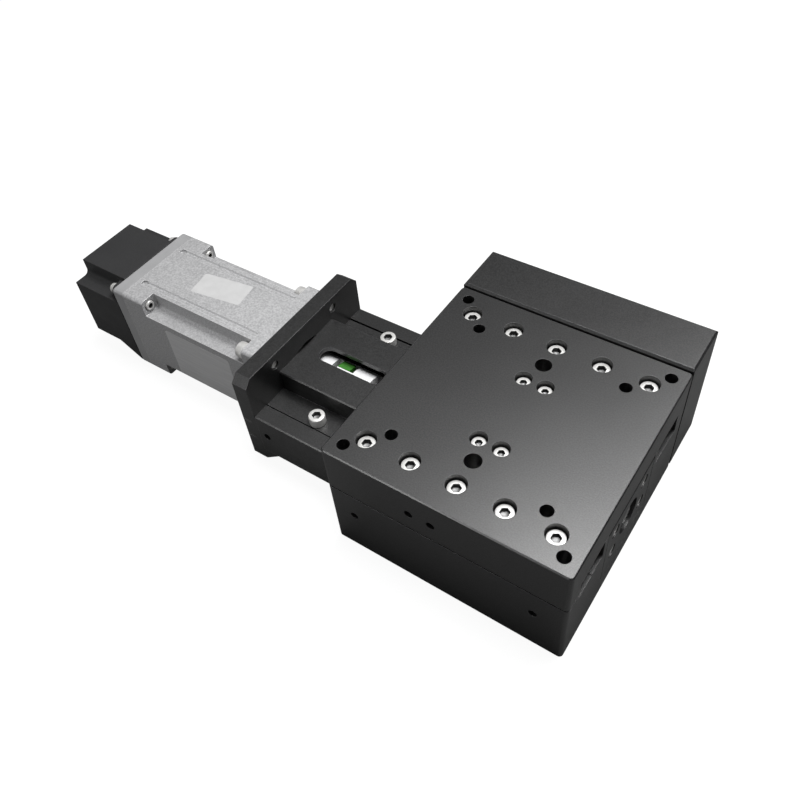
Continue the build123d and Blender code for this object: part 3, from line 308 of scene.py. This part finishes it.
screw_steel = turned("screw_steel", (0.58, 0.575, 0.56), (0.74, 0.735, 0.72), (0.34, 0.46), 2500.0,
                     metallic=0.5, eased=False)
coat(screw_steel,
     "table_screws", "tie_bolts", "cover_screws", "bearing_unit_screws", "retainer_screws",
     "inner_rail_screws", "cage_stops", "nut_bracket_screws", "ball_nut_screws", "coupling_set_screws",
     "motor_screws", "shield_screws", "encoder_cap_screws", "sensor_cover_screws", "sensor_mount_screws")
coat(turned("bearing_steel", (0.55, 0.55, 0.54), (0.70, 0.69, 0.68), (0.12, 0.24), 900.0, (6.0, 1.0, 1.0)),
     "bearing_outer_rings", "bearing_inner_rings", "near_rollers", "far_rollers", "ball_screw", "ball_nut",
     "lock_nut", "motor_shaft")
coat(turned("rail_steel", (0.42, 0.42, 0.41), (0.56, 0.55, 0.54), (0.18, 0.30), 500.0, (0.2, 5.0, 5.0)),
     "near_inner_rail", "far_inner_rail", "near_outer_rail", "far_outer_rail")
coat(turned("cage_alloy", (0.60, 0.60, 0.61), (0.74, 0.74, 0.75), (0.30, 0.42), 1200.0, (0.3, 3.0, 3.0)),
     "near_cage", "far_cage")
coat(turned("hub_alloy", (0.78, 0.78, 0.79), (0.86, 0.86, 0.87), (0.42, 0.52), 800.0, (6.0, 1.0, 1.0),
            metallic=0.15),
     "screw_hub", "motor_hub")
coat(turned("flag_steel", (0.45, 0.45, 0.45), (0.58, 0.58, 0.57), (0.28, 0.40), 900.0, (0.3, 4.0, 4.0)),
     "sensor_flag")
coat(turned("core_steel", (0.10, 0.10, 0.11), (0.17, 0.17, 0.18), (0.40, 0.55), 1500.0, (8.0, 1.0, 1.0),
            metallic=0.8),
     "stator_core", "rotor_magnets")
coat(turned("winding_copper", (0.55, 0.22, 0.08), (0.72, 0.32, 0.12), (0.28, 0.45), 900.0, (5.0, 1.0, 1.0)),
     "windings")
coat(turned("connector_plating", (0.48, 0.48, 0.49), (0.64, 0.64, 0.64), (0.20, 0.34), 1200.0,
            (1.0, 6.0, 1.0)),
     "sensor_connector")
coat(turned("head_casting", (0.22, 0.22, 0.23), (0.32, 0.32, 0.33), (0.42, 0.55), 1600.0, metallic=0.7),
     "read_head")

# ---------------------------------------------------------------- small moulded parts
# The coupling's rubbery green spider and the travel bumpers, cast in tough polymers, the black
# sensor shells, the lacquered circuit boards, and the glass disc and scale that the heads read.


def moulded(name, dark, light, rough, per_metre=1800.0):
    """Solid plastic or rubber with a fine moulded skin."""
    material, tree, shader = new_finish(name, Specular_IOR_Level=0.45)
    skin = lumps(tree, per_metre, 2.0)
    tree.links.new(shades(tree, skin, dark, light), shader.inputs["Base Color"])
    tree.links.new(spread(tree, lumps(tree, 150.0, 2.0), rough[0], rough[1]), shader.inputs["Roughness"])
    pitted(tree, shader, [(skin, 0.00003, 0.35)], rounded_edges(tree, 0.0003))
    return material


coat(moulded("spider_polymer", (0.035, 0.16, 0.022), (0.06, 0.23, 0.035), (0.40, 0.52)), "spider")
coat(moulded("bumper_urethane", (0.45, 0.10, 0.03), (0.55, 0.14, 0.05), (0.45, 0.58)), "travel_bumpers")
sensor_plastic = moulded("sensor_plastic", (0.012, 0.012, 0.013), (0.022, 0.022, 0.023), (0.38, 0.50))
coat(sensor_plastic, "position_sensors")
coat(moulded("circuit_board", (0.01, 0.09, 0.035), (0.02, 0.14, 0.05), (0.30, 0.40), 700.0),
     "encoder_board", "sensor_board")
coat(moulded("disc_glass", (0.20, 0.22, 0.22), (0.30, 0.32, 0.32), (0.08, 0.14), 400.0),
     "encoder_disc", "encoder_scale")

# ---------------------------------------------------------------- socket cap screws
# Cold-headed steel cap screws, zinc plated. The head has a knurled side, a rounded rim and a
# chamfered hexagon socket with a drilled bottom, painted near-black as shade in the recess, and the plain
# shank below it is screwed in.
# Near-black finish for the socket's chamfer, walls and bottom: painted shade in the recess.
socket_painted_shade = turned("socket_painted_shade", (0.10, 0.10, 0.10), (0.20, 0.20, 0.20), (0.38, 0.50), 2500.0,
                      eased=False)
# Thread in mm: radius and height of the head, and the key's width across flats.
HEADS = {3: (2.75, 3.0, 2.5), 4: (3.5, 4.0, 3.0), 5: (4.25, 5.0, 4.0)}
KNURL_DEPTH, TIP_CHAMFER, SOCKET_CHAMFER = 0.1 * MM, 0.4 * MM, 0.12 * MM
HEAD_TURNS = 96
# The last rows of each head, the socket's inside, take the painted-shade finish.
SHADED_SOCKET_ROWS = 4


def shell(name, points, second_rows=0):
    """Mesh from grids of points: every cell of (copies, rows, columns) is one four-sided face,
    and the last column joins the first. A row whose points all meet closes a pole. The last
    rows, as many as second_rows says, take the piece's second material."""
    copies, rows, columns = points.shape[:3]
    row, column = np.meshgrid(np.arange(rows - 1), np.arange(columns), indexing="ij")
    after = (column + 1) % columns
    below, above = row * columns, (row + 1) * columns
    cell = np.stack([below + column, below + after, above + after, above + column], axis=-1).reshape(-1, 4)
    faces = (cell[None] + np.arange(copies)[:, None, None] * rows * columns).reshape(-1, 4)
    mesh = bpy.data.meshes.new(name)
    mesh.vertices.add(copies * rows * columns)
    mesh.vertices.foreach_set("co", np.ascontiguousarray(points, dtype=np.float32).ravel())
    mesh.loops.add(faces.size)
    mesh.loops.foreach_set("vertex_index", faces.astype(np.int32).ravel())
    mesh.polygons.add(len(faces))
    mesh.polygons.foreach_set("loop_start", np.arange(0, faces.size, 4, dtype=np.int32))
    second = np.repeat(np.arange(rows - 1) >= rows - 1 - second_rows, columns)
    mesh.polygons.foreach_set("material_index", np.tile(second, copies).astype(np.int32))
    mesh.update(calc_edges=True)
    poles = bmesh.new()
    poles.from_mesh(mesh)
    bmesh.ops.remove_doubles(poles, verts=poles.verts, dist=1e-8)
    poles.to_mesh(mesh)
    poles.free()
    mesh.polygons.foreach_set("use_smooth", np.ones(len(mesh.polygons), dtype=bool))
    mesh.set_sharp_from_angle(angle=math.radians(30))
    piece = bpy.data.objects.new(name, mesh)
    bpy.context.scene.collection.objects.link(piece)
    return piece


def stations(low, high, margin, count):
    """Evenly spaced places between two limits, each end kept in by the margin, or the middle for one."""
    if count == 1:
        return np.array([(low + high) / 2])
    return np.linspace(low + margin, high - margin, count)


def cap_screws(node, thread, facing, counts, body):
    """Cap screws in place of a node's. A head is a radius and a height for each ring, turned
    round the screw's axis. The radius of a knurled ring drops by its depth at every second point,
    and that of a socket ring at angle t is half the key over cos((t + 30) mod 60 - 30)."""
    low, high = (np.array(corner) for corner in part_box(node))
    radius, height, key = (value * MM for value in HEADS[thread])
    facing = np.array(facing, dtype=float)
    across = np.roll(facing, 1)
    along = np.cross(facing, across)
    grip = (high - low) @ np.abs(facing) - height
    angle = np.arange(HEAD_TURNS) * 2.0 * math.pi / HEAD_TURNS
    hexagon = key / 2 / np.cos((angle + math.pi / 6) % (math.pi / 3) - math.pi / 6)
    knurl = radius - KNURL_DEPTH * (np.arange(HEAD_TURNS) % 2)
    shank = thread / 2 * MM
    rings = (
        (0.0, -grip), (shank - TIP_CHAMFER, -grip), (shank, TIP_CHAMFER - grip), (shank, 0.0),
        (radius - 0.2 * MM, 0.0), (knurl, 0.2 * MM), (knurl, height - 0.9 * MM),
        (radius - 0.08 * MM, height - 0.8 * MM), (radius - 0.12 * MM, height - 0.35 * MM),
        (radius - 0.2 * MM, height - 0.15 * MM), (radius - 0.33 * MM, height - 0.04 * MM),
        (radius - 0.45 * MM, height), (hexagon + SOCKET_CHAMFER, height), (hexagon, height - 0.2 * MM),
        (hexagon, height / 2), (key * 0.38, height / 2 - 0.1 * MM), (0.0, height / 2 - 0.5 * MM),
    )
    ring_radius = np.stack([np.broadcast_to(ring[0], HEAD_TURNS) for ring in rings])
    ring_height = np.array([ring[1] for ring in rings])
    turned_head = (
        (ring_radius * np.cos(angle))[..., None] * across
        + (ring_radius * np.sin(angle))[..., None] * along
        + ring_height[:, None, None] * facing
    )
    places = [stations(start, end, radius, count) for start, end, count in zip(low, high, counts)]
    centres = np.stack(np.meshgrid(*places, indexing="ij"), axis=-1).reshape(-1, 3)
    top = high if facing.sum() > 0 else low
    seat = top * np.abs(facing) - height * facing
    centres = centres * (1.0 - np.abs(facing)) + seat
    piece = shell(node + "_detailed", centres[:, None, None, :] + turned_head[None], SHADED_SOCKET_ROWS)
    piece.data.materials.append(screw_steel)
    piece.data.materials.append(socket_painted_shade)
    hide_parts(node)
    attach(piece, body)


UP, LEFT, RIGHT, FAR = (0, 0, 1), (-1, 0, 0), (1, 0, 0), (0, 1, 0)
cap_screws("table_screws", 5, UP, (5, 2, 1), "carriage")
cap_screws("nut_bracket_screws", 4, UP, (2, 2, 1), "carriage")
cap_screws("cover_screws", 5, UP, (1, 2, 1), "frame")
cap_screws("tie_bolts", 5, LEFT, (1, 2, 2), "frame")
cap_screws("motor_screws", 5, LEFT, (1, 2, 2), "frame")
cap_screws("shield_screws", 3, RIGHT, (1, 2, 2), "frame")
cap_screws("encoder_cap_screws", 3, LEFT, (1, 2, 2), "frame")
cap_screws("sensor_cover_screws", 3, FAR, (2, 1, 2), "frame")
cap_screws("sensor_mount_screws", 4, FAR, (3, 1, 1), "frame")

# ---------------------------------------------------------------- blank labels
# Two plain stickers on the motor, with nothing printed on them: a pale vinyl one on top and
# a brushed silver foil on the near side. Each is pressed flat on the casting and has round corners.
LABEL_THICKNESS, EDGE_HEIGHT, EDGE_WIDTH = 0.1 * MM, 0.03 * MM, 0.05 * MM
TOP_LABEL_SIZE, TOP_LABEL_CORNER, TOP_LABEL_TURN = (31.0 * MM, 15.4 * MM), 1.2 * MM, math.radians(8.0)
TOP_LABEL_PLACE = (45.9 * MM, 2.2 * MM)
SIDE_LABEL_SIZE, SIDE_LABEL_CORNER = (46.0 * MM, 33.0 * MM), 1.5 * MM
SIDE_LABEL_PLACE = (50.5 * MM, 30.5 * MM)


def label(name, centre, size, corner, up, right):
    """Thin plate with round corners: its outline is each corner's centre plus a quarter circle,
    drawn at the foot, near the top, and twice further in on the top. Both ends run to the middle."""
    centre, up, right = (np.array(value, dtype=float) for value in (centre, up, right))
    ahead = np.cross(up, right)
    quarter = np.radians(np.arange(0.0, 90.1, 15.0))
    angle = (np.arange(4)[:, None] * math.pi / 2 + quarter).ravel()
    reach_x, reach_y = size[0] / 2 - corner, size[1] / 2 - corner
    signs_x = np.repeat([1, -1, -1, 1], quarter.size)
    signs_y = np.repeat([1, 1, -1, -1], quarter.size)
    inset = np.array([0.0, 0.0, EDGE_WIDTH, corner])
    round_part = (corner - inset)[:, None]
    x = signs_x * reach_x + round_part * np.cos(angle)
    y = signs_y * reach_y + round_part * np.sin(angle)
    middle = np.zeros((1, angle.size))
    x, y = np.vstack([middle, x, middle]), np.vstack([middle, y, middle])
    lift = np.array([0.0, 0.0, LABEL_THICKNESS - EDGE_HEIGHT] + [LABEL_THICKNESS] * 3)
    points = centre + x[..., None] * right + y[..., None] * ahead + lift[:, None, None] * up
    return shell(name, points[None])


motor_low, motor_high = (np.array(corner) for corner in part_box("motor_body"))
top_centre = (motor_low[0] + TOP_LABEL_PLACE[0], TOP_LABEL_PLACE[1], motor_high[2])
askew = (math.cos(TOP_LABEL_TURN), math.sin(TOP_LABEL_TURN), 0)
top_label = label("top_label", top_centre, TOP_LABEL_SIZE, TOP_LABEL_CORNER, (0, 0, 1), askew)
vinyl, tree, shader = new_finish("label_vinyl", Specular_IOR_Level=0.45)
fibres = lumps(tree, 900.0, 3.0)
pale = shades(tree, lumps(tree, 180.0, 3.0), (0.43, 0.43, 0.43), (0.47, 0.47, 0.47))
tree.links.new(pale, shader.inputs["Base Color"])
tree.links.new(spread(tree, fibres, 0.34, 0.46), shader.inputs["Roughness"])
pitted(tree, shader, [(fibres, 0.00002, 0.25)])
top_label.data.materials.append(vinyl)
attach(top_label, "frame")

side_centre = (motor_low[0] + SIDE_LABEL_PLACE[0], motor_low[1], SIDE_LABEL_PLACE[1])
side_label = label("side_label", side_centre, SIDE_LABEL_SIZE, SIDE_LABEL_CORNER, (0, -1, 0), (1, 0, 0))
foil, tree, shader = new_finish("label_foil", Metallic=0.5)
brushed = lumps(tree, 1400.0, 3.0, (0.05, 1.0, 1.0))
silver = shades(tree, brushed, (0.60, 0.60, 0.605), (0.70, 0.70, 0.705))
tree.links.new(silver, shader.inputs["Base Color"])
tree.links.new(spread(tree, brushed, 0.30, 0.46), shader.inputs["Roughness"])
pitted(tree, shader, [(brushed, 0.00001, 0.3)])
side_label.data.materials.append(foil)
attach(side_label, "frame")

# ---------------------------------------------------------------- connector contacts
# Gold-plated pins that stand on the floors of the two motor sockets and, in two rings on a
# dark moulded disc, inside the round sensor connector. Each is pressed into its insulator.
POWER_COLUMNS, POWER_ROWS = (3.5, 7.5), (23.0, 27.0, 31.0, 35.0)
ENCODER_COLUMNS, ENCODER_ROWS = (4.0, 8.0), (26.5, 29.5, 32.5, 35.5)
POWER_FLOOR_DEPTH, ENCODER_FLOOR_DEPTH, CONNECTOR_FLOOR_DEPTH = 4.8 * MM, 5.0 * MM, 6.5 * MM
INSULATOR_RADIUS, INSULATOR_THICKNESS = 5.55 * MM, 0.9 * MM
OUTER_RING, OUTER_CONTACTS, INNER_RING, INNER_CONTACTS = 3.7 * MM, 8, 1.5 * MM, 3


def pins(name, feet, radius, reach, material, turns=12):
    """Round pins or discs towards +Y. A ring is a share of the radius and a share of the reach,
    turned round each foot's own axis."""
    angle = np.arange(turns) * 2.0 * math.pi / turns
    rings = np.array([(0.0, 0.0), (1.0, 0.0), (1.0, 0.9), (0.7, 1.0), (0.0, 1.0)]) * (radius, reach)
    width, height = rings[:, :1], np.repeat(rings[:, 1:], turns, axis=1)
    turned_pin = np.stack([width * np.cos(angle), height, -width * np.sin(angle)], axis=-1)
    piece = shell(name, np.array(feet)[:, None, None, :] + turned_pin[None])
    piece.data.materials.append(material)
    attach(piece, "frame")


gold = turned("contact_gold", (0.62, 0.45, 0.18), (0.78, 0.58, 0.26), (0.20, 0.32), 2000.0, eased=False)
low, high = (np.array(corner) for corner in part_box("motor_sockets"))
power_floor, encoder_floor = high[1] - POWER_FLOOR_DEPTH, high[1] - ENCODER_FLOOR_DEPTH
power_feet = [(high[0] - x * MM, power_floor, z * MM) for x in POWER_COLUMNS for z in POWER_ROWS]
encoder_feet = [(low[0] + x * MM, encoder_floor, z * MM) for x in ENCODER_COLUMNS for z in ENCODER_ROWS]
pins("power_socket_pins", power_feet, 0.6 * MM, 3.4 * MM, gold)
pins("encoder_socket_pins", encoder_feet, 0.5 * MM, 3.0 * MM, gold)

low, high = (np.array(corner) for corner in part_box("sensor_connector"))
socket_floor = np.array([(low[0] + high[0]) / 2, high[1] - CONNECTOR_FLOOR_DEPTH, (low[2] + high[2]) / 2])
pins("connector_insulator", [socket_floor], INSULATOR_RADIUS, INSULATOR_THICKNESS, sensor_plastic,
     64)
outer_turn = np.arange(OUTER_CONTACTS) * 2.0 * math.pi / OUTER_CONTACTS
inner_turn = np.arange(INNER_CONTACTS) * 2.0 * math.pi / INNER_CONTACTS
turn = np.concatenate([outer_turn, inner_turn])
ring = np.repeat([OUTER_RING, INNER_RING], [OUTER_CONTACTS, INNER_CONTACTS])
sunk_foot = np.full(turn.size, INSULATOR_THICKNESS - 0.1 * MM)
contact_feet = socket_floor + np.stack([ring * np.cos(turn), sunk_foot, ring * np.sin(turn)], axis=-1)
pins("connector_pins", contact_feet, 0.5 * MM, 3.6 * MM, gold)
